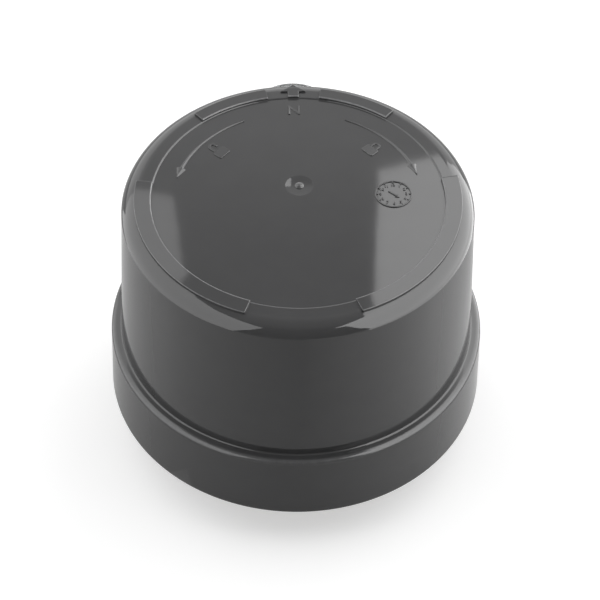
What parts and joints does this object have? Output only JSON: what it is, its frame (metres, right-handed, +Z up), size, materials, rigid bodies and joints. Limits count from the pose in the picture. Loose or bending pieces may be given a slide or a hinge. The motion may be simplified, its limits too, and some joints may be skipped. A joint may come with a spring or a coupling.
{
  "type": "photocell switch",
  "caption": "Round twist-lock photocell switch for a street light: domed grey cover on a wider skirt, raised bars and arrow on top, side window, gasket and hooked brass blades below.",
  "frame": {"origin": "centre of the gasket's lower sealing face, on the axis of the round cover", "axes": "+Z up along the axis, from the blades to the top of the cover; +Y to the north, where the window is"},
  "size_m": [0.084, 0.084, 0.0661],
  "materials": {
    "cover_plastic": "dark grey moulded plastic, satin",
    "clear_plastic": "clear polycarbonate, glossy",
    "base_plastic": "black moulded plastic, satin",
    "gasket_foam": "closed-cell foam",
    "blade_brass": "stamped brass, satin",
    "rivet_brass": "set brass rivet",
    "board_laminate": "green glass-fibre laminate",
    "screw_steel": "zinc-plated steel",
    "relay_case": "black sealed case",
    "varistor_coat": "blue dipped coating",
    "capacitor_case": "yellow film capacitor box",
    "can_sleeve": "dark blue shrink sleeve",
    "holder_plastic": "black moulded plastic",
    "cell_ceramic": "light-sensitive ceramic disc",
    "diode_epoxy": "black epoxy",
    "zener_glass": "amber glass body",
    "resistor_coat": "grey-blue flameproof coating",
    "white_insulation": "white insulation",
    "black_insulation": "black insulation",
    "red_insulation": "red insulation"
  },
  "bodies": {
    "root": {"cover": "cover_plastic", "window_lens": "clear_plastic", "base_plate": "base_plastic", "base_gasket": "gasket_foam", "neutral_blade": "blade_brass", "line_blade": "blade_brass", "load_blade": "blade_brass", "blade_rivets": "rivet_brass", "circuit_board": "board_laminate", "board_screws": "screw_steel", "relay": "relay_case", "varistor": "varistor_coat", "dropper_capacitor": "capacitor_case", "smoothing_capacitor": "can_sleeve", "sensor_holder": "holder_plastic", "photocell": "cell_ceramic", "rectifier_diodes": "diode_epoxy", "zener_diode": "zener_glass", "dropper_resistors": "resistor_coat", "drive_transistor": "diode_epoxy", "neutral_wire": "white_insulation", "line_wire": "black_insulation", "load_wire": "red_insulation"}
  },
  "joints": []
}
